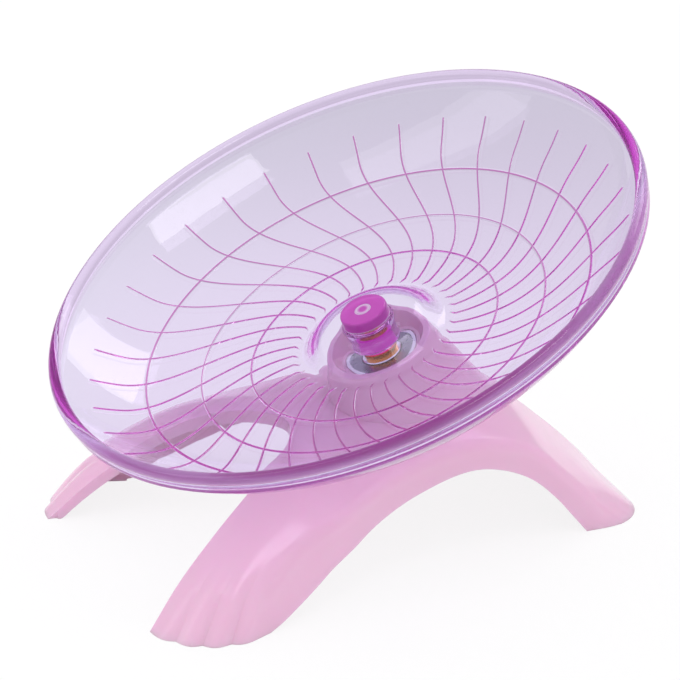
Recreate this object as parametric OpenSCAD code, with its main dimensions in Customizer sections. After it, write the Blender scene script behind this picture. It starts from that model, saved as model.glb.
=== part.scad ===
// Rodent exercise wheel: a clear saucer that spins on a ball bearing, on a three-legged stand.
// Millimetres. +Z is up, the saucer leans towards -Y, and the ground is z = 0.
// Depths called "below the rim" run down the tilted spin axis from the plane of the saucer's rim.

/* [Saucer] */
// Outer diameter of the saucer over its lip
dish_d = 180; // [170:1:190]
// Lean of the spin axis from upright, in degrees
tilt = 22.2; // [19:0.1:25]
// Height of the rim's centre above the ground
rim_height = 79.7; // [78:0.1:84]
// Depth of the inner floor below the rim
dish_depth = 23.2; // [22:0.1:24]
// Diameter of the flat middle of the floor
floor_d = 80; // [70:1:90]
// Wall of the saucer
dish_wall = 2.2; // [1.6:0.1:2.4]
// Thickness of the rounded lip
lip_w = 3.7; // [3:0.1:4.5]

/* [Grip ribs] */
// Number of swept ribs
rib_count = 36; // [24:1:40]
// Width of each rib at its foot
rib_w = 0.9; // [0.6:0.1:1.2]
// Height of each rib above the floor
rib_h = 0.4; // [0.3:0.05:0.6]
// Diameter where the swept ribs begin
rib_start_d = 46; // [44:1:50]
// Diameter where the swept ribs end
rib_end_d = 162; // [150:1:168]
// Angle that a rib sweeps through from its start to its end
rib_sweep = 23.5; // [10:0.5:30]
// Angle of the small hook at a rib's inner end
rib_hook = 3; // [0:0.5:5]
// Turn of the rib pattern at rest
rib_phase = 1.2; // [0:0.1:10]
// Diameter of the inner ring rib
ring_in_d = 74.5; // [68:0.5:80]
// Diameter of the middle ring rib
ring_mid_d = 103.7; // [98:0.5:110]
// Diameter of the outer ring rib
ring_out_d = 134.2; // [128:0.5:140]

/* [Hub of the saucer] */
// Height of the post's closed top above the floor
post_h = 9.6; // [8:0.1:11]
// Diameter of the post at its top
post_d = 13.8; // [13:0.1:15]
// Widening of the post down to the web, for release from the mould
post_draft = 0.7; // [0:0.1:1.2]
// Thickness of the post's end wall
post_end_wall = 3; // [2:0.1:3.4]
// Diameter of the mould gate mark on the post
gate_d = 5; // [3:0.1:6]
// Diameter of the bore up the inside of the post
socket_d = 10; // [9.6:0.1:10.6]
// Length of the socket's sleeve below the floor
sleeve_drop = 2.2; // [1.6:0.1:2.8]
// Thickness of the web that carries the post inside the collar
web_t = 1.4; // [1:0.1:1.8]
// Step from the collar's lip down to the web
web_drop = 0.8; // [0.4:0.1:1.2]
// Diameter over the lip of the raised collar
collar_d = 30.4; // [29:0.1:32]
// Diameter of the raised collar where it meets the floor
collar_base_d = 43; // [41:0.5:46]
// Height of the raised collar above the floor
collar_h = 5.9; // [4:0.1:7]
// Wall of the raised collar
collar_wall = 1.4; // [1:0.1:1.8]

/* [Axle] */
// Diameter of the axle pin, which is the bearing's bore
pin_d = 8; // [7.8:0.1:8.2]
// Diameter of the pin's shoulder
shoulder_d = 9.8; // [9:0.1:11]
// Height of the pin's shoulder above the bearing
shoulder_h = 2.2; // [1.8:0.1:3]
// Diameter of the pin's coned tip
tip_d = 4.8; // [4:0.1:6]
// Length of the pin's cone
tip_h = 3.6; // [2:0.1:5]
// Length of the bush on the pin
bush_h = 5.6; // [4:0.1:6]
// Thread diameter of the axle screw
screw_d = 4; // [3:0.5:4.5]
// Thread length of the axle screw
screw_len = 8; // [6:0.5:10]
// Head diameter of the axle screw
screw_head_d = 7.4; // [6:0.1:8.5]
// Head height of the axle screw
screw_head_h = 2.4; // [1.8:0.1:3]
// Outer diameter of the washer under the screw
washer_d = 11; // [9.5:0.1:11.5]
// Thickness of the washer
washer_t = 0.8; // [0.5:0.1:1.2]

/* [Ball bearing] */
// Outer diameter of the bearing
bearing_d = 22; // [22:0.1:23]
// Width of the bearing
bearing_w = 7; // [7:0.1:7.5]
// Number of balls
ball_count = 7; // [6:1:7]
// Diameter of one ball
ball_d = 3.97; // [3.5:0.01:4]
// Radial gap between the two rings beside the balls
land_gap = 2.96; // [2.8:0.02:3.2]
// Thickness of a shield
shield_t = 0.35; // [0.25:0.05:0.4]
// Thickness of the cage strip
cage_t = 0.4; // [0.3:0.05:0.45]
// Width of the cage strip
cage_w = 1.5; // [1.2:0.1:1.8]
// Diameter of a cage rivet
rivet_d = 0.6; // [0.5:0.05:0.7]
// Diameter of a rivet's heads
rivet_head_d = 1; // [0.8:0.05:1.2]
// Height of a rivet's heads
rivet_head_h = 0.2; // [0.15:0.05:0.3]

/* [Stand] */
// Depth of the bearing's upper face below the saucer's floor
bearing_drop = 6.6; // [6.2:0.1:8]
// Height of the boss rim above the bearing
cup_h = 3.2; // [2:0.1:3.2]
// Diameter of the boss at its rim
boss_d = 31.2; // [30:0.1:32]
// Diameter of the mouth of the boss
boss_mouth_d = 27.6; // [26:0.1:28]
// Widening of the boss for each millimetre down its axis
boss_flare = 0.3; // [0.24:0.02:0.36]
// Thickness of the ledge that the bearing sits on
ledge_t = 2; // [1.5:0.1:3]
// Width of the ledge that the bearing sits on
ledge_w = 2.6; // [2:0.1:3]
// Wall of the stand
stand_wall = 2.2; // [1.8:0.1:2.6]
// Depth of the flange under the front arch
flange_h = 4; // [3:0.1:5]
// Outward bow of a front foot
foot_bow = 6.5; // [5:0.1:8]
// Depth of the scallops round a front foot
scallop = 1.3; // [0.6:0.1:1.8]
// Number of scallops on a front foot
toes = 4; // [3:1:5]
// Crown of a front leg between its two edges
leg_crown = 2.6; // [1:0.1:4]

/* [Clearances] */
// Radial clearance of turned pieces in their bores
slip = 0.02; // [0.01:0.01:0.05]
// Radial clearance of each ball in its grooves
ball_slip = 0.05; // [0.03:0.01:0.08]
// Radial gap between a shield and the inner ring
shield_gap = 0.25; // [0.2:0.05:0.4]
// Gap between the pin's lower end and the washer
end_play = 0.1; // [0.05:0.05:0.2]

/* [Hidden] */
$fn = 96;
hair = 0.01;
arc_steps = 10;
lip_steps = 14;

// Radii and depths that follow from the sizes above
rim_r = dish_d / 2;
floor_r = floor_d / 2;
lip_r = lip_w / 2;
bowl_drop = dish_depth - lip_w;
bowl_span = rim_r - dish_wall - floor_r;
bowl_r = (bowl_span * bowl_span + bowl_drop * bowl_drop) / (2 * bowl_drop);
bowl_up = bowl_r - dish_depth;
post_top = dish_depth - post_h;
collar_top = dish_depth - collar_h;
collar_slope = (collar_base_d - collar_d) / 2 / collar_h;
web_top = collar_top + web_drop;
web_bottom = web_top + web_t;
sleeve_end = dish_depth + sleeve_drop;
bearing_top = dish_depth + bearing_drop;
bearing_bottom = bearing_top + bearing_w;
bearing_mid = bearing_top + bearing_w / 2;
pitch_r = (pin_d + bearing_d) / 4;
groove_r = ball_d / 2 + ball_slip;
inner_ring_d = 2 * pitch_r - land_gap;
outer_land_d = 2 * pitch_r + land_gap;
shield_seat_d = outer_land_d + 1.5;
shield_inset = 0.45;
wall_bottom = -bowl_up + sqrt(pow(bowl_r + dish_wall, 2) - pow(rim_r - floor_r, 2));
dish_back = rim_r * cos(tilt) + wall_bottom * sin(tilt);
dish_front = (rim_r - lip_r) * cos(tilt) + lip_r;
mid_y = (dish_back - dish_front) / 2;

// Puts its children on the spin axis, at a depth below the rim
module on_axis(depth) {
    translate([0, -mid_y, rim_height])
        rotate([tilt, 0, 0])
            translate([0, 0, -depth])
                children();
}

// Inner floor of the saucer: depth below the rim at radius r
function floor_at(r) = r < floor_r ? dish_depth : sqrt(bowl_r * bowl_r - pow(r - floor_r, 2)) - bowl_up;

// Eases from 0 to 1 as t goes from 0 to 1
function ease(t) = let (u = min(1, max(0, t))) u * u * (3 - 2 * u);

// Saucer

// Arc of the bowl's section about its centre over the edge of the floor, from angle a0 to a1
function bowl_arc(r, a0, a1) =
    [for (k = [0 : arc_steps])
        let (a = a0 + (a1 - a0) * k / arc_steps)
        [floor_r + r * sin(a), bowl_up - r * cos(a)]];

// Round lip, from the bowl's inner wall over the top to its outer wall
function lip_arc() =
    let (a0 = 180 + acos((dish_wall - lip_r) / lip_r))
    [for (k = [0 : lip_steps])
        let (a = a0 * (1 - k / lip_steps))
        [rim_r - lip_r + lip_r * cos(a), lip_r * sin(a)]];

// Radius of the collar's underside at a depth below the rim
function collar_under(depth) = collar_base_d / 2 - (dish_depth - depth) * collar_slope
    - collar_wall * sqrt(1 + collar_slope * collar_slope);

// Half section of the saucer in one outline: down the closed post, across the web, over the raised
// collar to the floor, up the bowl, over the lip, and back underneath and up the socket
module dish_section() {
    post_r = post_d / 2;
    foot_r = post_r + post_draft / 2;
    outer_r = bowl_r + dish_wall;
    difference() {
        polygon(concat(
            [[0, -post_top], [post_r - 0.6, -post_top], [post_r, -post_top - 0.6], [foot_r, -web_top],
                [collar_d / 2 - collar_wall, -web_top],
                [(collar_d - collar_wall) / 2, -collar_top], [collar_d / 2, -collar_top],
                [collar_base_d / 2, -dish_depth]],
            bowl_arc(bowl_r, 0, acos((bowl_up + lip_w) / bowl_r)),
            lip_arc(),
            bowl_arc(outer_r, asin((rim_r - floor_r) / outer_r), 0),
            [[collar_under(dish_depth + dish_wall), -dish_depth - dish_wall],
                [collar_under(web_bottom), -web_bottom], [foot_r, -web_bottom],
                [post_r, -sleeve_end], [socket_d / 2, -sleeve_end],
                [socket_d / 2, -post_top - post_end_wall], [0, -post_top - post_end_wall]]));
        translate([gate_d / 2 - 0.5, -post_top - 0.25]) square([0.5, 1]);
    }
}

// Round bead that runs once round the saucer
module bead(radius, depth, thickness) {
    rotate_extrude($fn = 180) translate([radius, -depth]) circle(r = thickness, $fn = 24);
}

// Turn of a swept rib about the axis at radius r: a small hook, then a smooth sweep
function rib_turn(r) = rib_sweep * ease((r - rib_start_d / 2 - 1) / rib_sweep_run)
    + rib_hook * max(0, 1 - (r - rib_start_d / 2) / rib_hook_run);

function on_floor(r) = [r * cos(rib_turn(r)), r * sin(rib_turn(r)), -floor_at(r)];

// Section of a rib at radius r: a ridge, and two feet that are sunk in the floor
function rib_section(r) =
    let (p = on_floor(r), along = unit(on_floor(r + hair) - on_floor(r - hair)),
        lean = r < floor_r ? 0 : (r - floor_r) / bowl_r,
        n = [-p.x / r * lean, -p.y / r * lean, sqrt(1 - lean * lean)],
        side = cross(along, n) * rib_w / 2 * (rib_h + rib_sink) / rib_h)
    [p + side - n * rib_sink, p + n * rib_h, p - side - n * rib_sink];

// One swept rib, with its stations closer together where it hooks
module grip_rib() {
    loft3([for (k = [0 : rib_steps])
        rib_section((rib_start_d + (rib_end_d - rib_start_d) * pow(k / rib_steps, 1.4)) / 2)]);
}

// Closed bar through a list of three-point sections
module loft3(rings) {
    n = len(rings) - 1;
    polyhedron([for (ring = rings) each ring], concat([[0, 2, 1]],
        [for (i = [0 : n - 1], j = [0 : 2])
            let (a = 3 * i + j, b = 3 * i + (j + 1) % 3)
            each [[a, b, b + 3], [a, b + 3, a + 3]]],
        [[3 * n, 3 * n + 1, 3 * n + 2]]));
}

module running_dish() {
    color([0.85, 0.78, 0.92, 0.5])
        on_axis(0) {
            rotate_extrude($fn = 180) dish_section();
            for (d = [ring_in_d, ring_mid_d, ring_out_d])
                bead(d / 2, floor_at(d / 2) - rib_h * 0.3, rib_h * 0.7);
            for (k = [0 : rib_count - 1])
                rotate([0, 0, rib_phase + 360 * k / rib_count]) grip_rib();
        }
}

// Axle

module pin_bush() {
    bush_bottom = bearing_top - shoulder_h;
    color([0.72, 0.15, 0.62])
        on_axis(bush_bottom)
            rotate_extrude()
                polygon([
                    [pin_d / 2 + slip, 0],
                    [socket_d / 2 - slip - 0.8, 0],
                    [socket_d / 2 - slip, 0.8],
                    [socket_d / 2 - slip, bush_h],
                    [pin_d / 2 + slip, bush_h]]);
}

module axle_pin() {
    pin_top = shoulder_h + bush_h + tip_h;
    color([0.78, 0.45, 0.16])
        on_axis(bearing_top)
            difference() {
                union() {
                    translate([0, 0, end_play - bearing_w])
                        cylinder(d = pin_d - 2 * slip, h = pin_top - tip_h + bearing_w - end_play);
                    cylinder(d = shoulder_d, h = shoulder_h - hair);
                    translate([0, 0, pin_top - tip_h])
                        cylinder(d1 = pin_d - 2 * slip, d2 = tip_d, h = tip_h);
                }
                translate([0, 0, -bearing_w]) cylinder(d = screw_d, h = screw_len + 1);
            }
}

module axle_washer() {
    color([0.75, 0.76, 0.78])
        on_axis(bearing_bottom + washer_t)
            difference() {
                cylinder(d = washer_d, h = washer_t);
                translate([0, 0, -1]) cylinder(d = screw_d + 0.3, h = washer_t + 2);
            }
}

module axle_screw() {
    color([0.7, 0.71, 0.73])
        on_axis(bearing_bottom + washer_t)
            difference() {
                union() {
                    cylinder(d = screw_d - 2 * slip, h = screw_len);
                    translate([0, 0, -screw_head_h]) cylinder(d = screw_head_d, h = screw_head_h);
                }
                for (a = [0, 90])
                    rotate([0, 0, a])
                        translate([0, 0, -screw_head_h])
                            cube([screw_head_d * 0.6, screw_head_h * 0.3, screw_head_h], center = true);
            }
}

// Ball bearing

// Ring with a square section and broken edges
module turned_ring(inner_d, outer_d, width, edge) {
    rotate_extrude()
        polygon([
            [inner_d / 2 + edge, -width / 2], [outer_d / 2 - edge, -width / 2],
            [outer_d / 2, edge - width / 2], [outer_d / 2, width / 2 - edge],
            [outer_d / 2 - edge, width / 2], [inner_d / 2 + edge, width / 2],
            [inner_d / 2, width / 2 - edge], [inner_d / 2, edge - width / 2]]);
}

module ball_groove() {
    rotate_extrude() translate([pitch_r, 0]) circle(r = groove_r, $fn = 48);
}

module bearing_inner_ring() {
    color([0.8, 0.81, 0.83])
        on_axis(bearing_mid)
            difference() {
                turned_ring(pin_d, inner_ring_d, bearing_w, 0.3);
                ball_groove();
            }
}

module bearing_outer_ring() {
    color([0.78, 0.79, 0.81])
        on_axis(bearing_mid)
            difference() {
                turned_ring(outer_land_d, bearing_d - 2 * slip, bearing_w, 0.3);
                ball_groove();
                for (side = [-1, 1])
                    translate([0, 0, side * (bearing_w / 2 - (shield_inset + shield_t) / 2 + hair)])
                        cylinder(d = shield_seat_d, h = shield_inset + shield_t + 2 * hair, center = true);
            }
}

// Shield pressed into its seat in the outer ring, clear of the inner ring
module shield(side) {
    color([0.62, 0.64, 0.67])
        on_axis(bearing_mid - side * (bearing_w / 2 - shield_inset - shield_t / 2))
            difference() {
                cylinder(d = shield_seat_d - 2 * slip, h = shield_t, center = true);
                cylinder(d = inner_ring_d + 2 * shield_gap, h = 1, center = true);
            }
}

module upper_shield() { shield(1); }

module lower_shield() { shield(-1); }

module ball_circle() {
    for (i = [0 : ball_count - 1])
        rotate([0, 0, 360 * i / ball_count])
            translate([pitch_r, 0, 0])
                children();
}

// One of the two strips of the cage: flat between the balls and domed over them
module cage_strip(side) {
    dome_r = ball_d / 2 + ball_slip + cage_t;
    color([0.72, 0.66, 0.5])
        on_axis(bearing_mid)
            mirror([0, 0, side < 0 ? 1 : 0])
                difference() {
                    intersection() {
                        union() {
                            cylinder(r = pitch_r + cage_w / 2, h = cage_t);
                            ball_circle() sphere(r = dome_r, $fn = 48);
                        }
                        difference() {
                            cylinder(r = pitch_r + cage_w / 2, h = 2 * dome_r);
                            translate([0, 0, -1]) cylinder(r = pitch_r - cage_w / 2, h = 2 * dome_r + 2);
                        }
                    }
                    ball_circle() sphere(r = ball_d / 2 + ball_slip, $fn = 48);
                    rotate([0, 0, 180 / ball_count])
                        ball_circle() cylinder(d = rivet_d + 2 * slip, h = 3 * cage_t, center = true, $fn = 24);
                }
}

module cage_upper() { cage_strip(1); }

module cage_lower() { cage_strip(-1); }

module cage_rivets() {
    color([0.66, 0.6, 0.45])
        on_axis(bearing_mid)
            rotate([0, 0, 180 / ball_count])
                ball_circle() {
                    cylinder(d = rivet_d, h = 2 * cage_t, center = true, $fn = 24);
                    for (side = [-1, 1])
                        translate([0, 0, side * (cage_t + rivet_head_h / 2)])
                            cylinder(d = rivet_head_d, h = rivet_head_h, center = true, $fn = 24);
                }
}

module bearing_ball(index) {
    color([0.86, 0.87, 0.89])
        if (index <= ball_count)
            on_axis(bearing_mid)
                rotate([0, 0, 360 * (index - 1) / ball_count])
                    translate([pitch_r, 0, 0])
                        sphere(d = ball_d, $fn = 48);
}

// Stand

// The shell is a skin between two rails, with a side wall below the outer rail.
// Each row is one station, from the rear edge over the back and down a front leg to its toes.
// The rails are drawn for a saucer of rail_d and a bearing seat rail_seat above the ground
rail_d = 180;
rail_seat = 45.63;
rail_spread = dish_d / rail_d;
rail_rise = (rim_height - bearing_bottom * cos(tilt)) / rail_seat;
function placed(line) = [for (p = line) [p.x * rail_spread, p.y * rail_spread, p.z * rail_rise]];

// Top rail: the centre line as far as the front arch, then the edge of the arch
back_line = placed([[0, 80, 0], [0, 73, 7.5], [0, 61, 19], [0, 46, 32.4], [0, 28, 38.2],
    [0, 8, 38], [0, -8, 36.8], [0, -18, 35.5]]);
arch_line = placed([[0, -18, 35.5], [11.5, -23, 34.3], [21, -37, 30.6], [28.4, -54, 20.6],
    [33, -66.5, 10.8], [37, -77, 0]]);
// Crease between the skin and the side wall
crease_line = placed([[34, 68, 0], [33.6, 62.5, 9], [33.3, 54, 19.6], [32.8, 45, 28.8], [32.2, 28, 34.3],
    [33.5, 8, 32.7], [37.8, -8, 29], [41.3, -17, 26.4], [43.3, -25, 24.2], [46, -35, 20.8], [49, -42, 15.5],
    [51.3, -46.5, 8.6], [53, -50, 0]]);
// Lower edge of the side wall
side_line = placed([[33.5, 60.5, 0], [33.3, 56.5, 5.3], [33, 50.5, 13], [32.6, 43, 20.2], [32.1, 28, 26.2],
    [33.6, 8, 23.6], [38, -8, 18.8], [41.8, -17, 14.8], [44, -23.5, 11.8], [47, -31, 7.8], [49.3, -37.5, 4.4],
    [50.8, -42.5, 1.8], [51.6, -46.4, 0]]);
back_n = len(back_line) - 1;
last = len(crease_line) - 1;
rib_steps = 6;
rib_sink = 0.24;
rib_sweep_run = 50;
rib_hook_run = 1.3;
steps = 3;
across = 16;
rear_corner = 12;

// Smooth curve through a list of points, at position t along the list
function spline(p, t) =
    let (n = len(p) - 1, i = min(n - 1, floor(t)), u = t - i,
        a = p[i], b = p[i + 1],
        da = i == 0 ? b - a : (b - p[i - 1]) / 2,
        db = i == n - 1 ? b - a : (p[i + 2] - a) / 2,
        u2 = u * u, u3 = u2 * u)
    a * (2 * u3 - 3 * u2 + 1) + b * (3 * u2 - 2 * u3) + da * (u3 - 2 * u2 + u) + db * (u3 - u2);

// The arch is led by its own mirror image, so that its crown is round
arch_led = concat([[-arch_line[1].x, arch_line[1].y, arch_line[1].z]], arch_line);

function top_rail(s) = s <= back_n ? spline(back_line, s) : spline(arch_led, s - back_n + 1);

// Outward bow and scallops of a front foot, which fade in down the leg
out_dir = let (d = crease_line[last] - arch_line[len(arch_line) - 1]) [d.y, -d.x, 0] / norm(d);
function foot_out(s, v) = out_dir * (foot_bow * 4 * v * (1 - v) * pow(ease((s - last + 4) / 4), 1.5)
    + scallop * abs(sin(toes * 180 * v)) * ease((s - last + 2.4) / 2.4));

// Rear edge: straight, then a round corner up to the crease
function rear_edge(v) =
    let (straight = crease_line[0].x - rear_corner, arc = rear_corner * PI / 2,
        run = v * (straight + arc), a = max(0, run - straight) / rear_corner * 180 / PI)
    [min(run, straight) + rear_corner * sin(a), back_line[0].y - rear_corner * (1 - cos(a)), 0];

// Skin of the stand at station s, from the top rail at v = 0 to the crease at v = 1
function skin(s, v) =
    let (a = top_rail(s), b = spline(crease_line, s),
        crown = s < back_n ? a.z - b.z : 4 * leg_crown * min(1, last - s),
        rear = pow(1 - min(1, s / 3), 2),
        bow = rear_edge(v) - (back_line[0] * (1 - v) + crease_line[0] * v))
    a * (1 - v) + b * v + [0, 0, crown * v * (1 - v)] + foot_out(s, v) + bow * rear;

function section(s) = concat([for (j = [0 : across]) skin(s, j / across)],
    [spline(side_line, s) * 0.5 + spline(crease_line, s) * 0.5, spline(side_line, s)]);

outer = [for (i = [0 : last * steps]) section(i / steps)];
rows = len(outer);
cols = len(outer[0]);
function unit(v) = v / norm(v);
// Inner face: each point moves in by the wall, square to the skin, and stays above the ground
function inner_point(i, j) =
    let (p = outer[i][j],
        along = outer[min(rows - 1, i + 1)][j] - outer[max(0, i - 1)][j],
        before = unit(j == 0 ? outer[i][1] - p : p - outer[i][j - 1]),
        after = unit(j == cols - 1 ? p - outer[i][j - 1] : outer[i][j + 1] - p),
        n = unit(cross(along, before + after)),
        q = p - n * stand_wall / max(0.7, n * unit(cross(along, before))))
    [p.x < hair ? p.x : max(0, q.x), q.y, i == 0 || i == rows - 1 ? 0 : max(0, q.z)];
inner = [for (i = [0 : rows - 1]) [for (j = [0 : cols - 1]) inner_point(i, j)]];

// Closed surface through rows of points, each row being a closed loop
module loft(grid) {
    m = len(grid[0]);
    n = len(grid) - 1;
    sides = [for (i = [0 : n - 1], j = [0 : m - 1])
        let (k = (j + 1) % m, a = i * m + j, b = i * m + k)
        each [[a, b, b + m], [a, b + m, a + m]]];
    caps = [for (i = [0, n], j = [0 : m / 2 - 2])
        let (a = i * m + j, c = i * m + m - 1 - j)
        each i == 0 ? [[a, c, a + 1], [a + 1, c, c - 1]] : [[a, a + 1, c], [a + 1, c - 1, c]]];
    polyhedron([for (row = grid) each row], concat(sides, caps));
}

function flipped(row) = [for (j = [len(row) - 1 : -1 : 0]) row[j]];

module both_sides() {
    children();
    mirror([1, 0, 0]) children();
}

module half_skin() {
    loft([for (i = [0 : rows - 1]) concat(outer[i], flipped(inner[i]))]);
}

// Wall under the edge of the front arch, square to the edge and grown out of the skin's middle
module half_arch_wall() {
    edge = [for (i = [back_n * steps : rows - 1]) outer[i][0]];
    n = len(edge) - 2;
    loft([for (i = [0 : n])
        let (t = unit(edge[i + 1] - edge[max(0, i - 1)]),
            side = i == 0 ? [0, stand_wall, 0] : unit([-t.y, t.x, 0]) * stand_wall,
            under = inner[back_n * steps + i][0],
            n = unit(edge[i] - under),
            root = (edge[i] + under) / 2 + unit(side - n * (side * n)) * stand_wall,
            foot = [edge[i].x, edge[i].y, max(0, edge[i].z - flange_h)])
        [root, foot + side, foot, edge[i] - [0, 0, hair]]]);
}

// Everything over the middle of the skin, which trims the boss to it
module over_skin() {
    top = rim_height + rim_r;
    loft([for (i = [2 * steps : (back_n + 1) * steps])
        let (mid = [for (j = [0 : across]) (outer[i][j] + inner[i][j]) / 2])
        concat([for (p = mid) [p.x, p.y, top]], flipped(mid))]);
}

// Radius of the boss at a depth below the rim
function boss_r(depth) = boss_d / 2 + boss_flare * (depth - bearing_top + cup_h);

module boss_cone(from, to, offset) {
    on_axis(to) cylinder(r1 = boss_r(to) - offset, r2 = boss_r(from) - offset, h = to - from);
}

module stand_shell() {
    seat_r = bearing_d / 2;
    deck_depth = (rim_height - back_line[4].z) / cos(tilt);
    color([0.89, 0.68, 0.84])
        difference() {
            union() {
                translate([0, -mid_y, 0])
                    both_sides() {
                        half_skin();
                        half_arch_wall();
                    }
                intersection() {
                    boss_cone(bearing_top - cup_h, rim_height / cos(tilt), 0);
                    translate([0, -mid_y, 0]) both_sides() over_skin();
                }
            }
            boss_cone(bearing_bottom + ledge_t, deck_depth + boss_r(deck_depth), stand_wall);
            on_axis(bearing_bottom) cylinder(r = seat_r, h = bearing_w + 2 * cup_h);
            on_axis(bearing_bottom + 2 * ledge_t) cylinder(r = seat_r - ledge_w, h = 3 * ledge_t);
            on_axis(bearing_top)
                cylinder(r1 = seat_r + 1, r2 = boss_mouth_d / 2, h = cup_h + hair);
        }
}

running_dish();
pin_bush();
axle_pin();
axle_washer();
axle_screw();
bearing_inner_ring();
bearing_outer_ring();
upper_shield();
lower_shield();
cage_upper();
cage_lower();
cage_rivets();
bearing_ball(1);  // ball_1
bearing_ball(2);  // ball_2
bearing_ball(3);  // ball_3
bearing_ball(4);  // ball_4
bearing_ball(5);  // ball_5
bearing_ball(6);  // ball_6
bearing_ball(7);  // ball_7
stand_shell();
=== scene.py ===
"""Rodent exercise wheel: a clear saucer with grip ribs, which spins on a ball bearing in the boss of a
moulded stand. Lengths are worked out in millimetres and put into the meshes in metres."""

import math

import bmesh
import bpy
import numpy as np
from mathutils import Matrix, Vector


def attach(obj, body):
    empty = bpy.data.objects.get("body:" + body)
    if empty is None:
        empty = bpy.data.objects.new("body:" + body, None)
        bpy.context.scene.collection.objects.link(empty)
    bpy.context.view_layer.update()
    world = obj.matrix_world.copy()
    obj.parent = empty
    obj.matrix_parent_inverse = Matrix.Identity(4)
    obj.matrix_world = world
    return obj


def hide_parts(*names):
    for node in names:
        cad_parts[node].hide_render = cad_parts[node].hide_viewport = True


bl_info = {
    "name": "Rodent Exercise Wheel",
    "version": (1, 0, 0),
    "blender": (4, 5, 0),
    "location": "View3D > Sidebar > Wheel",
    "description": "Builds a clear running saucer on its ball bearing and stand",
    "category": "Add Mesh",
}

MM = 0.001
MERGED = 2e-7  # points nearer than this, in metres, are one
BOUNCES = 12.0  # bounces inside clear plastic, past which light leaves it
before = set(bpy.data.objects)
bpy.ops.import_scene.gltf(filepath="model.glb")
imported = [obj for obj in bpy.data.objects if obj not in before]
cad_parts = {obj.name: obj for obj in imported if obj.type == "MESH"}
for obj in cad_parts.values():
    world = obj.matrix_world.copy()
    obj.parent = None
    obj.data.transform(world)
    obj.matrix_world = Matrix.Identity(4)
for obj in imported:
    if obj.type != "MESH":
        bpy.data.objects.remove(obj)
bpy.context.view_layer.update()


def length(name, description, millimetres):
    """A size that is shown in the scene's own length unit."""
    return bpy.props.FloatProperty(name=name, description=description, default=millimetres * MM,
                                   unit="LENGTH", precision=5)


def turn(name, description, degrees):
    """An angle, given in degrees."""
    return bpy.props.FloatProperty(name=name, description=description, default=math.radians(degrees),
                                   subtype="ANGLE")


def tint(name, description, colour):
    """A colour, as its linear red, green and blue."""
    return bpy.props.FloatVectorProperty(name=name, description=description, default=colour, size=3,
                                         subtype="COLOR", min=0, max=1)


def share(name, description, value, top=1.0):
    """A plain number from nothing up to the top."""
    return bpy.props.FloatProperty(name=name, description=description, default=value, min=0, max=top)


class WHEEL_PG_saucer(bpy.types.PropertyGroup):
    rim_diameter: length("Rim", "Outer diameter of the saucer over its lip", 180)
    rim_height: length("Rim height", "Height of the rim's centre above the ground", 79.7)
    set_back: length("Set back", "How far the rim's centre lies in front of the frame's origin", 0.804)
    lean: turn("Lean", "Lean of the spin axis from upright", 22.2)
    floor_depth: length("Depth", "Depth of the inner floor below the rim", 23.2)
    floor_diameter: length("Flat floor", "Diameter of the flat middle of the floor", 80)
    wall: length("Wall", "Wall of the saucer", 2.2)
    lip: length("Lip", "Thickness of the rounded lip", 3.7)
    rib_count: bpy.props.IntProperty(name="Ribs", description="Number of swept grip ribs", default=36, min=12)
    rib_width: length("Rib width", "Width of each grip rib at its foot", 0.6)
    rib_height: length("Rib height", "Height of each grip rib above the floor", 0.25)
    rib_start: length("Rib start", "Radius where the swept ribs begin", 23)
    rib_end: length("Rib end", "Radius where the swept ribs end", 81)
    rib_sweep: turn("Sweep", "Turn of a rib from its start to its end", 23.5)
    rib_hook: turn("Hook", "Turn of the small hook at a rib's inner end", 3)
    rib_phase: turn("Phase", "Turn of the whole rib pattern at rest", 1.2)
    surface: tint("Surface", "Lilac grey of the clear plastic in one thin wall", (0.81, 0.79, 0.93))
    dye: tint("Dye", "Colour that the plastic takes on in depth", (0.86, 0.08, 0.84))
    dye_strength: share("Dye strength", "Absorption for each metre of plastic", 45, 1000)
    cap: tint("Cap", "Deep magenta of the post's thick end wall", (0.52, 0.07, 0.47))
    # the edge tone is also painted on the rib crests as painted shade
    edge: tint("Edge", "Deepest colour, where the lip is seen from inside the plastic", (0.42, 0.002, 0.31))


class WHEEL_PG_finishes(bpy.types.PropertyGroup):
    stand: tint("Stand", "Pink of the moulded stand", (0.77, 0.48, 0.64))
    bush: tint("Bush", "Magenta of the axle bush", (0.85, 0.09, 0.68))
    bush_dye: tint("Bush dye", "Colour that the bush takes on in depth", (0.78, 0.03, 0.68))
    bush_strength: share("Bush strength", "Absorption for each metre of the bush", 350, 1000)
    bush_clarity: share("Bush clarity", "Share of the light that the bush lets into it", 0.2)
    brass: tint("Brass", "Colour of the axle pin", (0.80, 0.32, 0.07))
    steel: tint("Steel", "Colour of the bearing's ground rings and balls", (0.78, 0.79, 0.82))
    sheet: tint("Sheet steel", "Colour of the shields and the ball cage", (0.34, 0.35, 0.39))
    zinc: tint("Zinc", "Colour of the plated screw and washer", (0.62, 0.64, 0.66))


class WHEEL_PG_stage(bpy.types.PropertyGroup):
    azimuth: turn("Azimuth", "Direction from which the camera looks", 65.6)
    elevation: turn("Elevation", "Height of the camera as an angle", 26.53)
    distance: length("Distance", "From the rim's centre back to the camera's plane", 2256.8)
    aside: length("Aside", "Camera's shift to the right of the rim's centre", -1.68)
    above: length("Above", "Camera's shift above the rim's centre", -19.09)
    lens: bpy.props.FloatProperty(name="Lens", description="Focal length in millimetres", default=423.5)
    paper: share("Paper", "Brightness of the backdrop", 1.0)
    daylight: share("Daylight", "Brightness of the room's even light", 1.0, 2.0)
    mirrored: share("Mirrored room", "Brightness of the room in reflections", 0.5, 2.0)
    behind: share("Backdrop", "Brightness of the far backdrop where it is seen through clear plastic", 0.7)


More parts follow.
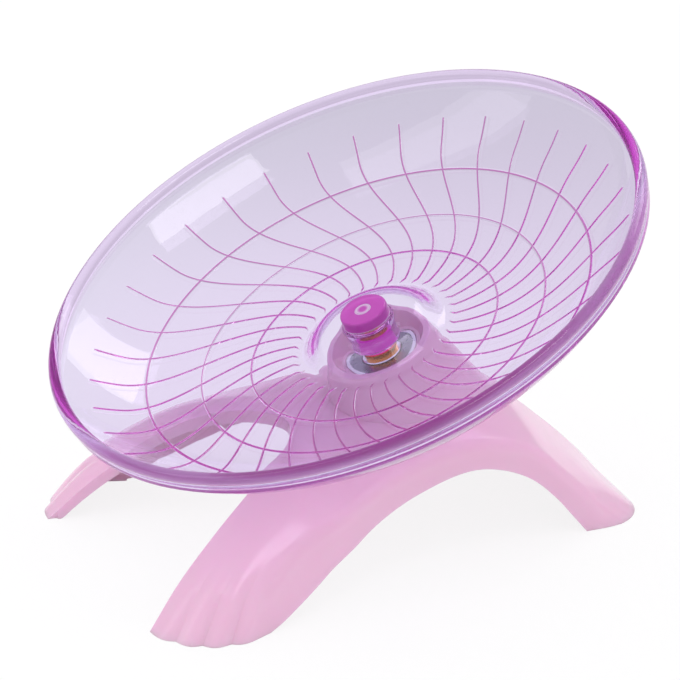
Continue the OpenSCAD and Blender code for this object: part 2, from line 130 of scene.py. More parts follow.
def saucer_sizes():
    """The saucer's sizes and tones, as they stand in the sidebar."""
    return bpy.context.scene.wheel_saucer


def finishes():
    """The finishes of the other pieces."""
    return bpy.context.scene.wheel_finishes


# Meshes

def shown(name, data):
    """An object for the data, put into the scene's own collection."""
    obj = bpy.data.objects.new(name, data)
    bpy.context.scene.collection.objects.link(obj)
    return obj


def on_axis(points):
    """Points in the saucer's own frame, whose z runs up the spin axis from the plane of the rim, put into
    the row frame: turned about x by the lean and moved to the rim's centre. Millimetres in, metres out."""
    s = saucer_sizes()
    c, d = math.cos(s.lean), math.sin(s.lean)
    x, y, z = np.moveaxis(np.asarray(points, float) * MM, -1, 0)
    return np.stack([x, y * c - z * d - s.set_back, y * d + z * c + s.rim_height], -1)


def off_axis(points):
    """The reverse of on_axis, in metres: from the row frame to the saucer's own frame."""
    s = saucer_sizes()
    c, d = math.cos(s.lean), math.sin(s.lean)
    x, y, z = np.moveaxis(np.asarray(points, float) + [0, s.set_back, -s.rim_height], -1, 0)
    return np.stack([x, y * c + z * d, z * c - y * d], -1)


def mesh_object(name, points, faces, material, body):
    """A smooth object from one array of points and one of quads, with doubles merged, so that seams and
    poles close."""
    mesh = bpy.data.meshes.new(name)
    flat = np.asarray(points, float).reshape(-1, 3)
    faces = np.asarray(faces, int).reshape(-1, 4)
    mesh.vertices.add(len(flat))
    mesh.vertices.foreach_set("co", flat.ravel().astype(np.float32))
    mesh.loops.add(faces.size)
    mesh.loops.foreach_set("vertex_index", faces.ravel().astype(np.int32))
    mesh.polygons.add(len(faces))
    mesh.polygons.foreach_set("loop_start", np.arange(0, faces.size, 4, dtype=np.int32))
    mesh.update(calc_edges=True)
    bm = bmesh.new()
    bm.from_mesh(mesh)
    bmesh.ops.remove_doubles(bm, verts=bm.verts, dist=MERGED)
    bm.to_mesh(mesh)
    bm.free()
    mesh.polygons.foreach_set("use_smooth", np.ones(len(mesh.polygons), bool))
    mesh.materials.append(material)
    obj = shown(name, mesh)
    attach(obj, body)
    return obj


def grid_faces(rows, columns):
    """Quads of a grid of points, each between two rows and two columns. Every row closes into a ring."""
    i = np.arange(rows - 1)[:, None]
    j = np.arange(columns)[None, :]
    k = (j + 1) % columns
    return np.stack([i * columns + j, (i + 1) * columns + j, (i + 1) * columns + k, i * columns + k], -1)


def end_faces(rows, columns):
    """Quads that close both ends of a tube of points, in whose rows one half runs back along the other."""
    j = np.arange(columns // 2 - 1)
    first = np.stack([j, j + 1, columns - 2 - j, columns - 1 - j], -1)
    return np.concatenate([first, first[:, ::-1] + (rows - 1) * columns])


def moved_in(outer, by):
    """The points of a grid moved inwards by a length, square to the surface that they lie on."""
    along, across = np.gradient(outer, axis=0), np.gradient(outer, axis=1)
    normal = np.cross(along, across)
    return outer - normal / np.linalg.norm(normal, axis=2, keepdims=True) * by


def rounded(corners, radii, steps=6):
    """A path through corners, with an arc of its own radius at each inner corner. The arc is the rational
    quadratic curve whose middle weight is the sine of half the corner's angle, which is a true circle."""
    path = [np.asarray(corners[0], float)]
    for a, p, b, r in zip(corners[:-2], corners[1:-1], corners[2:], radii):
        a, p, b = (np.asarray(q, float) for q in (a, p, b))
        if r <= 0:
            path.append(p)
            continue
        u, v = (a - p) / np.linalg.norm(a - p), (b - p) / np.linalg.norm(b - p)
        half = math.acos(np.clip(u @ v, -1, 1)) / 2
        reach = r / math.tan(half)
        t = np.linspace(0, 1, steps + 1)[:, None]
        weights = np.hstack([(1 - t) ** 2, 2 * t * (1 - t) * math.sin(half), t ** 2])
        path.extend(weights @ np.array([p + u * reach, p, p + v * reach]) / weights.sum(1, keepdims=True))
    path.append(np.asarray(corners[-1], float))
    return np.array(path)


def finely(path, step):
    """The path with points added, so that no stretch is longer than the step."""
    path = np.asarray(path, float)
    run = np.linalg.norm(np.diff(path, axis=0), axis=1)
    counts = np.maximum(1, np.ceil(run / step - 1e-6).astype(int))
    t = np.concatenate([k + np.arange(n) / n for k, n in enumerate(counts)] + [[len(counts)]])
    return np.stack([np.interp(t, np.arange(len(path)), path[:, k]) for k in range(path.shape[1])], -1)


def ease(t):
    """Goes smoothly from 0 to 1: three times t squared less twice t cubed."""
    t = np.clip(t, 0, 1)
    return t * t * (3 - 2 * t)


class SaucerShape:
    """Radii and curves of the saucer in millimetres, in its own frame."""

    rings = (37.2, 51.85, 67.1)  # radii of the ring ribs
    post_up, crest_up = 9.6, 5.9  # heights of the post and of the collar's crest above the floor
    cap = -16.6  # height above which the post counts as its end wall
    gate = (1.95, 2.45)  # radii between which the end wall's top is paler
    bore, bore_top = 5.06, -16.5  # radius of the bush's hole, 0.06 more than the bush's, and where it ends
    web_end = 24.6  # radius where the hub's section meets the rows of the floor
    thinning = 0.9  # what the bowl's wall loses up to the lip, and how far inside the rim its arc ends
    sweep_run, hook_run = 50, 1.3  # lengths over which a rib sweeps and hooks
    fade = 0.6  # length over which a rib rises at its ends

    def __init__(self, s):
        """Takes the sizes from the sidebar. The bowl's arc leaves the flat floor level and ends at the lip's
        short wall, and these two give its radius."""
        self.rim = s.rim_diameter / 2 / MM
        self.lip = s.lip / 2 / MM
        self.wall = s.wall / MM
        self.depth = s.floor_depth / MM
        self.flat = s.floor_diameter / 2 / MM
        drop, span = self.depth - 2 * self.lip, self.rim - self.wall - self.flat
        self.bowl = (span ** 2 + drop ** 2) / (2 * drop)
        self.centre = self.bowl - self.depth
        self.start, self.end = s.rib_start / MM, s.rib_end / MM
        self.width, self.height = s.rib_width / MM, s.rib_height / MM
        self.sweep, self.hook, self.phase, self.count = s.rib_sweep, s.rib_hook, s.rib_phase, s.rib_count

    def floor(self, r):
        """Height of the inner floor at radius r: flat in the middle, then a circle's arc."""
        return self.centre - np.sqrt(self.bowl ** 2 - np.maximum(0, r - self.flat) ** 2)

    def turn(self, r):
        """Turn of a swept rib about the axis at radius r: a small hook at its start, then a smooth sweep."""
        return (self.sweep * ease((r - self.start - 1) / self.sweep_run)
                + self.hook * np.clip(1 - (r - self.start) / self.hook_run, 0, 1))

    def hub_path(self):
        """Section from the middle of the post's closed top, down the post, over the web and the collar."""
        top, crest = self.post_up - self.depth, self.crest_up - self.depth
        return finely(rounded(
            [(0, top), (2.0, top), (2.1, top - 0.25), (2.4, top - 0.25), (2.5, top), (6.9, top),
             (7.1, self.cap + 0.1), (7.11, self.cap - 0.2), (7.25, crest), (14.6, crest),
             (21.5, -self.depth), (self.web_end, -self.depth)],
            [0.05, 0.08, 0.08, 0.1, 0.7, 0, 0, 0.5, 7.0, 4.0], steps=5), step=1.0)

    def marked(self, obj):
        """Three point attributes for the finish: cap on the post's end wall, fainter in its gate ring, edge
        on the inner half of the lip, and rib on the crests of the ribs, where dark painted shade goes."""
        place = np.empty(len(obj.data.vertices) * 3)
        obj.data.vertices.foreach_get("co", place)
        x, y, z = (off_axis(place.reshape(-1, 3)) / MM).T
        r = np.hypot(x, y)
        above = self.bowl - np.hypot(np.maximum(0, r - self.flat), self.centre - z)
        paler = (r > self.gate[0]) & (r < self.gate[1]) & (z > -14)
        marks = {
            "cap": ((r < 7.4) & (z > self.cap)) * np.where(paler, 0.35, 1.0),
            "edge": np.interp(np.arctan2(-z, self.rim - self.lip - r), [0.05, 0.15, 0.5, 0.6, 1.1, 1.3],
                              [0, 1, 1, 0.7, 0.7, 0])
                    * (r < self.rim - self.lip) * (z < 0) * (z > -self.lip),
            # rib marks the rib crests, which get dark painted shade
            "rib": ((r > self.start) & (r < self.end + 1) & (above > 0.4 * self.height) & (above < 2)) * 1.0}
        for name, mark in marks.items():
            layer = obj.data.attributes.new(name, "FLOAT", "POINT")
            layer.data.foreach_set("value", mark.astype(np.float32))

    def floor_radii(self):
        """Radii of the rows over the floor: even steps, with more across each ring rib and at the ribs'
        ends."""
        across = np.array([-0.9, -0.5, -0.38, -0.22, 0, 0.22, 0.38, 0.5, 0.9]) * self.width / 0.8
        rows = [np.linspace(self.web_end + 0.2, self.lip_meet()[0], 55)]
        rows += [ring + across for ring in self.rings]
        rows += [self.end + np.array([-0.5, 0, 0.3, 0.6])]
        rows = np.sort(np.concatenate(rows))
        return rows[np.concatenate([[True], np.diff(rows) > 0.09])]

    def lip_meet(self):
        """Where the bowl's inner arc ends, below the short upright wall that carries the lip."""
        return self.rim - self.wall, -2 * self.lip

    def lip_path(self):
        """Up the short wall, over the round lip, down to the bowl's outer arc and in along the underside. The
        wall thins from the floor up to the lip by the square of the angle climbed."""
        meet, middle = np.array(self.lip_meet()), self.rim - self.lip
        outside = self.rim - self.thinning
        start = 2 * math.pi - math.acos((self.rim - self.wall - middle) / self.lip)
        a = np.linspace(start, -math.acos((outside - middle) / self.lip), 34)
        lip = np.stack([middle + self.lip * np.cos(a), self.lip * np.sin(a)], -1)
        top = math.asin((outside - self.flat) / (self.bowl + self.wall - self.thinning))
        a = np.linspace(top, 0, 36)
        outer = self.bowl + self.wall - self.thinning * (a / top) ** 2
        bowl = np.stack([self.flat + outer * np.sin(a), self.centre - outer * np.cos(a)], -1)
        under = -self.depth - self.wall
        base = rounded([(self.flat, under), (20.3, under), (14.0, -19.0), (7.25, -19.0), (6.9, -25.4),
                        (self.bore, -25.4), (self.bore, self.bore_top), (0, self.bore_top)],
                       [6.0, 5.2, 0.5, 0.4, 0.4, 0.1], steps=5)
        return np.concatenate([finely([meet, lip[0]], 0.7)[1:], lip[1:], finely([lip[-1], bowl[0]], 1.0)[1:],
                               bowl[1:], finely(base, 2.4)[1:]])

    def surface(self):
        """Closed surface of the saucer. Each row is one point of the section carried round the axis, and
        each column runs along a rib, because its angle turns with the radius as the ribs do. Floor rows rise
        by the larger of the two bumps, a half round across each rib and each ring."""
        hub, radii, lip = self.hub_path(), self.floor_radii(), self.lip_path()
        rows = np.concatenate([hub, np.stack([radii, self.floor(radii)], -1), lip])
        r, z = rows.T[:, :, None]
        half = self.width / 2
        near = np.array([-1.5, -1, -0.55, 0, 0.55, 1, 1.5]) * half
        period = 2 * math.pi / self.count
        reach = np.maximum(r, self.start)
        slope = (self.turn(reach + 0.05) - self.turn(reach - 0.05)) / 0.1 * reach
        slope = np.where((r > self.start + 1.4) & (r < self.end), slope, 0)
        by_rib = near * np.sqrt(1 + slope ** 2) / reach
        gap = period / 2 * np.array([0.52, 1.0, 1.48]) + 0 * r
        turn = self.turn(np.clip(r, self.start - 0.3, self.end))
        angle = (self.phase + turn + np.concatenate([by_rib, gap], 1))[:, None, :]
        angle = (angle + period * np.arange(self.count)[None, :, None]).reshape(len(rows), -1)
        across = np.sqrt(np.clip(1 - (near / half) ** 2, 0, 1))
        ends = ease((r - self.start + 0.2) / self.fade) * ease((self.end + 0.3 - r) / self.fade)
        on_floor = np.zeros_like(r)
        on_floor[len(hub):len(hub) + len(radii)] = 1
        on_floor[:len(hub)] = ((hub[:, 0] > 22.5) & (hub[:, 1] < 0.1 - self.depth))[:, None]
        ribs = np.concatenate([across * ends, 0 * gap], 1) * on_floor
        ring = np.max([np.sqrt(np.clip(1 - ((r - k) / half) ** 2, 0, 1)) for k in self.rings], 0) * on_floor
        bump = np.tile(np.maximum(ribs, ring) * self.height, (1, self.count))
        lean = np.clip((r - self.flat) / self.bowl, 0, 1)
        r, z = r - bump * lean, z + bump * np.sqrt(1 - lean ** 2)
        points = np.stack([r * np.cos(angle), r * np.sin(angle), z + 0 * angle], -1)
        return points, grid_faces(*points.shape[:2])


class StandShape:
    """The stand's shell in millimetres, with x across, y back and z up, from four rails that a smooth curve
    follows. Stations run from the rear edge (0) over the back to the front arch's crown (7) and down a front
    leg to its toes (12)."""

    wall, flange = 2.2, 4.0  # thickness of the shell, and depth of the wall under the front arch
    foot_bow, scallop, toes = 6.5, 1.3, 4  # bow of a front foot, and height and number of its scallops
    crown = 2.6  # rise of the skin over a front leg, between its two edges
    corner, crease = 12.0, 3.2  # radii of the rear corners and of the crease between skin and side
    arch_end = 11.75  # station, just short of the toes, where the arch's wall ends
    across = 65  # points over the skin of one half
    clear_of = 120  # a height that is over all of the stand

    def __init__(self):
        self.back = np.array([[0, 80, 0], [0, 73.4, 8.2], [0, 62, 20.4], [0, 46.8, 33.4], [0, 28, 39.0],
                              [0, 8, 38], [0, -8, 36.8], [0, -18, 35.5]], float)
        self.arch = np.array([[-11.5, -23, 34.3], [0, -18, 35.5], [11.5, -23, 34.3], [21, -37, 30.6],
                              [28.4, -54, 20.6], [33, -66.5, 10.8], [37, -77, 0]], float)
        self.edge = np.array([[34, 68, 0], [33.6, 62.5, 9], [33.3, 54, 19.6], [32.8, 45.2, 28.2],
                              [32.2, 28, 34.3], [33.5, 8, 32.7], [37.8, -8, 29], [41.3, -17, 26.4],
                              [43.3, -25, 24.2], [46, -35, 20.8], [49, -42, 15.5], [51.3, -46.5, 8.6],
                              [53, -50, 0]], float)
        self.low = np.array([[33.5, 60.5, 0], [33.3, 56.5, 5.3], [33, 50.5, 13], [32.6, 43, 20.2],
                             [32.1, 28, 26.2], [33.6, 8, 23.6], [38, -8, 18.8], [41.8, -17, 14.8],
                             [44, -23.5, 11.8], [47, -31, 7.8], [49.3, -37.5, 4.4], [50.8, -42.5, 1.8],
                             [51.6, -46.4, 0]], float)
        self.turn, self.last = len(self.back) - 1, len(self.edge) - 1

    @staticmethod
    def follow(points, t):
        """The curve through the points at positions t along the list: a cubic between neighbours. Its
        direction at each point is that of a parabola through the points before, at and after it."""
        n = len(points) - 1
        i = np.clip(np.floor(t).astype(int), 0, n - 1)
        u = (t - i)[..., None]
        step = np.diff(points, axis=0)
        span = np.linalg.norm(step, axis=1)[:, None]
        pace = step / span
        middle = (pace[:-1] * span[1:] + pace[1:] * span[:-1]) / (span[:-1] + span[1:])
        pace = np.concatenate([pace[:1], middle, pace[-1:]])
        a, b, da, db = points[i], points[i + 1], pace[i] * span[i], pace[i + 1] * span[i]
        return (a * (2 * u ** 3 - 3 * u ** 2 + 1) + b * (3 * u ** 2 - 2 * u ** 3)
                + da * (u ** 3 - 2 * u ** 2 + u) + db * (u ** 3 - u ** 2))

    def top(self, s):
        """The upper rail: along the middle of the back, then round the front arch's edge."""
        on_back = self.follow(self.back, np.minimum(s, self.turn))
        on_arch = self.follow(self.arch, np.maximum(s - self.turn, 0) + 1)
        return np.where((s <= self.turn)[..., None], on_back, on_arch)

    def skin(self, s, v):
        """Outer skin: straight from the top rail (v = 0) to the crease (v = 1), raised by a parabola, bowed
        at the rear edge into round corners, and pushed out at a front foot by a parabola and scallops."""
        a, b = self.top(s), self.follow(self.edge, s)
        rise = np.where(s < self.turn, a[..., 2] - b[..., 2], 4 * self.crown * np.minimum(1, self.last - s))
        out = self.edge[-1] - self.arch[-1]
        out = np.array([out[1], -out[0], 0]) / np.linalg.norm(out)
        push = (self.foot_bow * 4 * v * (1 - v) * ease((s - self.last + 4) / 4) ** 1.5
                + self.scallop * np.abs(np.sin(self.toes * np.pi * v)) * ease((s - self.last + 2.4) / 2.4))
        straight = self.edge[0, 0] - self.corner
        run = v * (straight + self.corner * np.pi / 2)
        angle = np.maximum(0, run - straight) / self.corner
        rear = np.stack([np.minimum(run, straight) + self.corner * np.sin(angle),
                         self.back[0, 1] - self.corner * (1 - np.cos(angle)), 0 * v], -1)
        bow = rear - (self.back[0] * (1 - v[..., None]) + self.edge[0] * v[..., None])
        fade = ((1 - np.minimum(1, s / 3)) ** 2)[..., None]
        lift = np.stack([0 * v, 0 * v, rise * v * (1 - v)], -1)
        return a * (1 - v[..., None]) + b * v[..., None] + lift + out * push[..., None] + bow * fade

    def sections(self, s):
        """Outer points of each station: the skin, a rounded crease and the side wall down to its lower
        edge."""
        s = s[:, None]
        edge, low = self.follow(self.edge, s[:, 0]), self.follow(self.low, s[:, 0])
        side = np.linalg.norm(low - edge, axis=1)
        reach = np.minimum(self.crease, 0.42 * side)
        width = np.linalg.norm(edge - self.top(s[:, 0]), axis=1)
        ends = 1 - reach / width
        v = np.linspace(0, 1, self.across)[None, :] * ends[:, None]
        skin = self.skin(s + 0 * v, v)
        down = edge + (low - edge) * (reach / side)[:, None]
        t = np.linspace(0, 1, 9)[1:-1, None]
        bend = ((1 - t) ** 2 * skin[:, -1:] + 2 * t * (1 - t) * edge[:, None] + t ** 2 * down[:, None])
        t = np.linspace(0, 1, 9)[:, None]
        return np.concatenate([skin, bend, down[:, None] * (1 - t) + low[:, None] * t], 1)

    def shell(self):
        """The closed shell. Its inner face is the outer one moved in by the wall, square to it. The right
        half is mirrored, and the two share their points on the middle plane."""
        s = np.unique(np.concatenate([np.linspace(0, 12, 121), np.linspace(9.5, 12, 61)]))
        outer = self.sections(s)
        inner = moved_in(outer, self.wall)
        back = s <= self.turn
        inner[back, 0, 0] = 0
        by_middle = back[:, None] & (outer[..., 0] < 3)
        inner[..., 0] = np.where(by_middle, np.maximum(inner[..., 0], 0), inner[..., 0])
        inner[..., 2] = np.maximum(inner[..., 2], 0)
        inner[[0, -1], :, 2] = 0
        ring = np.concatenate([outer, inner[:, ::-1]], 1)
        rows, columns = ring.shape[:2]
        quads = grid_faces(rows, columns)
        open_seam = s[:-1] < self.turn - 1e-6
        keep = np.ones(quads.shape[:2], bool)
        keep[open_seam, -1] = False
        right = np.concatenate([quads[keep], end_faces(rows, columns)])
        points = ring.reshape(-1, 3)
        left = right[:, ::-1] + len(points)
        return np.concatenate([points, points * [-1, 1, 1]]), np.concatenate([right, left])

    def arch_wall(self):
        """The wall under the front arch's edge, square to the edge, in one piece from foot to foot."""
        s = np.linspace(self.turn, self.arch_end, 60)
        edge = self.top(s)
        along = np.gradient(edge, axis=0)
        along[0] = [1, 0, 0]
        inward = np.stack([-along[:, 1], along[:, 0], 0 * s], -1)
        inward *= self.wall / np.linalg.norm(inward, axis=1, keepdims=True)
        skin = self.sections(s)
        slope = skin[:, 1] - skin[:, 0]
        slope[0] = [0, 1, 0]
        slope /= np.linalg.norm(slope, axis=1, keepdims=True)
        foot = edge * [1, 1, 0] + np.maximum(0, edge[:, 2:] - self.flange) * [0, 0, 1]
        root = edge + slope * self.wall - [0, 0, self.wall * 0.5]
        ring = np.stack([root, foot + inward, foot, edge - [0, 0, 0.15]], 1)
        ring = np.concatenate([(ring * [-1, 1, 1])[:0:-1], ring])
        rows, columns = ring.shape[:2]
        caps = np.array([[0, 1, 2, 3], [3, 2, 1, 0]]) + [[0], [(rows - 1) * columns]]
        return ring.reshape(-1, 3), np.concatenate([grid_faces(rows, columns).reshape(-1, 4), caps])

    def over_skin(self):
        """The space over the middle of the skin, from the back to just past the arch's crown."""
        s = np.linspace(2, 8, 61)
        middle = moved_in(self.sections(s)[:, :self.across], self.wall / 2)
        middle[s <= self.turn, 0, 0] = 0
        middle[s > self.turn, 0, 0] = np.maximum(middle[s > self.turn, 0, 0], 0)
        middle = np.concatenate([(middle * [-1, 1, 1])[:, :0:-1], middle], 1)
        ring = np.concatenate([middle * [1, 1, 0] + [0, 0, self.clear_of], middle[:, ::-1]], 1)
        rows, columns = ring.shape[:2]
        sides = grid_faces(rows, columns).reshape(-1, 4)
        return ring.reshape(-1, 3), np.concatenate([sides, end_faces(rows, columns)])


def solid(name, points, faces):
    """A closed mesh in an object of its own, for joining and cutting, with its doubles merged."""
    mesh = bpy.data.meshes.new(name)
    points, faces = np.asarray(points, float).reshape(-1, 3), np.asarray(faces, int).reshape(-1, 4)
    mesh.from_pydata(points.tolist(), [], faces.tolist())
    bm = bmesh.new()
    bm.from_mesh(mesh)
    bmesh.ops.remove_doubles(bm, verts=bm.verts, dist=MERGED)
    bmesh.ops.dissolve_degenerate(bm, edges=bm.edges, dist=1e-8)
    bmesh.ops.recalc_face_normals(bm, faces=bm.faces)
    bm.to_mesh(mesh)
    bm.free()
    return shown(name, mesh)


def combine(base, others):
    """The base solid after each of the others, in order, is joined to it, cut from it or kept in common."""
    for operation, other in others:
        cut = base.modifiers.new(other.name, "BOOLEAN")
        cut.operation, cut.solver, cut.object = operation, "MANIFOLD", other
    mesh = bpy.data.meshes.new_from_object(base.evaluated_get(bpy.context.evaluated_depsgraph_get()))
    for obj in (base, *(other for _, other in others)):
        bpy.data.objects.remove(obj)
    return shown("joined", mesh)


def revolved(path, turns=192):
    """Closed surface of a profile of radii and heights, which starts and ends on the axis."""
    angle = np.linspace(0, 2 * np.pi, turns, endpoint=False)
    r, z = np.asarray(path, float).T[:, :, None]
    points = np.stack([r * np.cos(angle), r * np.sin(angle), z + 0 * angle], -1)
    return points, grid_faces(*points.shape[:2])


# Finishes

def node_group(name, inputs, outputs):
    """An empty shader node group with named sockets, and its input and output nodes."""
    group = bpy.data.node_groups.new(name, "ShaderNodeTree")
    for kind, socket, value in inputs:
        made = group.interface.new_socket(name=socket, in_out="INPUT", socket_type="NodeSocket" + kind)
        made.default_value = value
    for kind, socket in outputs:
        group.interface.new_socket(name=socket, in_out="OUTPUT", socket_type="NodeSocket" + kind)
    return group, group.nodes.new("NodeGroupInput"), group.nodes.new("NodeGroupOutput")


def add(tree, kind, links=None, **settings):
    """A node with its settings, and with sockets either linked or given a plain value."""
    node = tree.nodes.new(kind)
    for key, value in settings.items():
        setattr(node, key, value)
    for key, value in (links or {}).items():
        socket = node.inputs[key]
        if isinstance(value, bpy.types.NodeSocket):
            tree.links.new(value, socket)
        else:
            socket.default_value = value
    return node


def maths(tree, operation, first, second, **settings):
    """The result of a Math node on two sockets or plain values."""
    node = add(tree, "ShaderNodeMath", {0: first, 1: second}, operation=operation, **settings)
    return node.outputs[0]


def moulded_skin():
    """Group for moulded plastic: slow waviness from the mould and fine rubbing, which change the roughness
    and the normal."""
    group, ins, outs = node_group(
        "Moulded skin",
        [("Float", "Roughness", 0.1), ("Float", "Rubbing", 0.05), ("Float", "Wave size", 120.0),
         ("Float", "Wave height", 0.00002)],
        [("Float", "Roughness"), ("Vector", "Normal")])
    where = add(group, "ShaderNodeTexCoord").outputs["Object"]
    wave = add(group, "ShaderNodeTexNoise", {"Vector": where, "Scale": ins.outputs["Wave size"],
                                             "Detail": 2.0})
    fine = add(group, "ShaderNodeTexNoise", {"Vector": where, "Scale": 900.0, "Detail": 3.0})
    worn = add(group, "ShaderNodeMapRange", {"Value": fine.outputs["Fac"], "From Min": 0.35,
                                             "From Max": 0.75})
    extra = maths(group, "MULTIPLY", worn.outputs["Result"], ins.outputs["Rubbing"])
    rough = maths(group, "ADD", extra, ins.outputs["Roughness"])
    bump = add(group, "ShaderNodeBump", {"Strength": 1.0, "Distance": ins.outputs["Wave height"],
                                         "Height": wave.outputs["Fac"]})
    group.links.new(rough, outs.inputs["Roughness"])
    group.links.new(bump.outputs["Normal"], outs.inputs["Normal"])
    return group


def turned_marks():
    """Group for turned metal: fine rings round the spin axis, which change the roughness and the normal."""
    group, ins, outs = node_group(
        "Turned marks",
        [("Float", "Roughness", 0.2), ("Float", "Mark depth", 0.000004)],
        [("Float", "Roughness"), ("Vector", "Normal")])
    s = saucer_sizes()
    where = add(group, "ShaderNodeTexCoord").outputs["Object"]
    centred = add(group, "ShaderNodeMapping", {"Vector": where, "Location": (0, s.set_back, -s.rim_height)},
                  vector_type="POINT")
    upright = add(group, "ShaderNodeMapping", {"Vector": centred.outputs[0], "Rotation": (-s.lean, 0, 0)},
                  vector_type="POINT")
    rings = add(group, "ShaderNodeTexWave", {"Vector": upright.outputs[0], "Scale": 700.0, "Distortion": 0.4,
                                             "Detail": 1.0}, wave_type="RINGS", rings_direction="Z")
    grime = add(group, "ShaderNodeTexNoise", {"Vector": where, "Scale": 500.0, "Detail": 4.0})
    spread = add(group, "ShaderNodeMapRange", {"Value": grime.outputs["Fac"], "From Min": 0.3,
                                               "From Max": 0.7, "To Min": -0.05, "To Max": 0.12})
    rough = maths(group, "ADD", spread.outputs["Result"], ins.outputs["Roughness"], use_clamp=True)
    bump = add(group, "ShaderNodeBump", {"Strength": 1.0, "Distance": ins.outputs["Mark depth"],
                                         "Height": rings.outputs["Fac"]})
    group.links.new(rough, outs.inputs["Roughness"])
    group.links.new(bump.outputs["Normal"], outs.inputs["Normal"])
    return group


def finish_group(tree, name, make, **values):
    """A named finish group placed in a material, with its own values. The group is built once."""
    group = bpy.data.node_groups.get(name) or make()
    return add(tree, "ShaderNodeGroup", {k.replace("_", " "): v for k, v in values.items()}, node_tree=group)


def fresh_material(name):
    """A material with one Principled shader, its tree and the output node."""
    material = bpy.data.materials.new(name)
    material.use_nodes = True
    tree = material.node_tree
    tree.nodes.clear()
    out = tree.nodes.new("ShaderNodeOutputMaterial")
    shader = tree.nodes.new("ShaderNodeBsdfPrincipled")
    tree.links.new(shader.outputs[0], out.inputs["Surface"])
    return material, tree, shader, out


def surfaced(tree, shader, finish):
    """The shader, with the roughness and the normal that a finish group gives."""
    tree.links.new(finish.outputs["Roughness"], shader.inputs["Roughness"])
    tree.links.new(finish.outputs["Normal"], shader.inputs["Normal"])
    return shader


def plastic_material(name, colour, roughness, scatter):
    """Opaque moulded plastic: faint clouds in the colour, a moulded skin, and a share of the light that
    spreads a little below the surface."""
    material, tree, shader, _ = fresh_material(name)
    surfaced(tree, shader, finish_group(tree, "Moulded skin", moulded_skin, Roughness=roughness))
    where = add(tree, "ShaderNodeTexCoord").outputs["Object"]
    cloud = add(tree, "ShaderNodeTexNoise", {"Vector": where, "Scale": 22.0, "Detail": 3.0})
    toned = add(tree, "ShaderNodeMix", {"Factor": cloud.outputs["Fac"], "A": (*[c * 0.97 for c in colour], 1),
                                        "B": (*[min(1, c * 1.03) for c in colour], 1)}, data_type="RGBA")
    tree.links.new(toned.outputs["Result"], shader.inputs["Base Color"])
    shader.inputs["IOR"].default_value = 1.5
    shader.inputs["Subsurface Weight"].default_value = scatter
    shader.inputs["Subsurface Radius"].default_value = (1.0, 0.5, 0.8)
    shader.inputs["Subsurface Scale"].default_value = 0.004
    return material


def deep_parts(tree, surface, cap_tone, edge_tone):
    """Nodes that read the saucer's marks, and give its colour and how clouded it is. The end wall (cap) is
    deep in colour and clouds over, seen from anywhere. The lip (edge) does so only where light comes to it
    from inside the plastic. The rib crests are painted with the lip's dark tone: painted shade for the dark
    lines that light bending at the ribs gives."""
    # the first number is how strongly the rib crests take the lip's dark tone as painted shade
    painted_rib_shade, cloudiness = 0.9, 0.8
    cap, edge, rib = (add(tree, "ShaderNodeAttribute", attribute_name=n).outputs["Fac"]
                      for n in ("cap", "edge", "rib"))
    inside = add(tree, "ShaderNodeNewGeometry").outputs["Backfacing"]
    lip = maths(tree, "MULTIPLY", edge, inside)
    # painted shade: the rib crests take most of the lip's dark tone
    deep = maths(tree, "MAXIMUM", lip, maths(tree, "MULTIPLY", rib, painted_rib_shade))
    toned = add(tree, "ShaderNodeMix", {"Factor": cap, "A": (*surface, 1), "B": (*cap_tone, 1)},
                data_type="RGBA")
    toned = add(tree, "ShaderNodeMix", {"Factor": deep, "A": toned.outputs["Result"], "B": (*edge_tone, 1)},
                data_type="RGBA")
    clouded = maths(tree, "MULTIPLY", cap, 4.0, use_clamp=True)
    clouded = maths(tree, "MAXIMUM", clouded, lip)
    return toned.outputs["Result"], maths(tree, "MULTIPLY", clouded, cloudiness)


def clear_material(name, surface, dye, strength, roughness=0.015, deep=None, clarity=1.0, glow=0.0):
    """Clear dyed plastic: glass whose colour comes from the depth of plastic that light passes through.
    Lamps reach what is behind it through a tinted clear film, and so does light that has bounced in the
    plastic more often than real haze would let it. Given the deep colours of the end wall and of the lip's
    edge, the parts that the mesh's marks name take them, and are mixed with the same plastic gone opaque.
    The glow is painted light: an emission in the plastic's own colour, which makes the piece shine
    though it is no lamp."""
    material, tree, shader, out = fresh_material(name)
    skin = finish_group(tree, "Moulded skin", moulded_skin, Roughness=roughness, Rubbing=0.02, Wave_size=60.0,
                        Wave_height=0.00003)
    shader.inputs["Base Color"].default_value = (*surface, 1)
    shader.inputs["Transmission Weight"].default_value = clarity
    # painted light: the glow is an emission in the plastic's own colour
    shader.inputs["Emission Color"].default_value = (*surface, 1)
    shader.inputs["Emission Strength"].default_value = glow
    shader.inputs["IOR"].default_value = 1.5
    plastic = surfaced(tree, shader, skin).outputs[0]
    if deep:
        tone, clouded = deep_parts(tree, surface, *deep)
        opaque = surfaced(tree, add(tree, "ShaderNodeBsdfPrincipled", {"Base Color": tone, "IOR": 1.5}), skin)
        tree.links.new(tone, shader.inputs["Base Color"])
        plastic = add(tree, "ShaderNodeMixShader", {0: clouded, 1: plastic, 2: opaque.outputs[0]}).outputs[0]
    film = add(tree, "ShaderNodeBsdfTransparent", {"Color": (0.98, 0.95, 0.98, 1)})
    path = add(tree, "ShaderNodeLightPath")
    trapped = maths(tree, "GREATER_THAN", path.outputs["Ray Depth"], BOUNCES)
    through = maths(tree, "MAXIMUM", path.outputs["Is Shadow Ray"], trapped)
    mix = add(tree, "ShaderNodeMixShader", {0: through, 1: plastic, 2: film.outputs[0]})
    tree.links.new(mix.outputs[0], out.inputs["Surface"])
    depth = add(tree, "ShaderNodeVolumeAbsorption", {"Color": (*dye, 1), "Density": strength})
    tree.links.new(depth.outputs[0], out.inputs["Volume"])
    return material


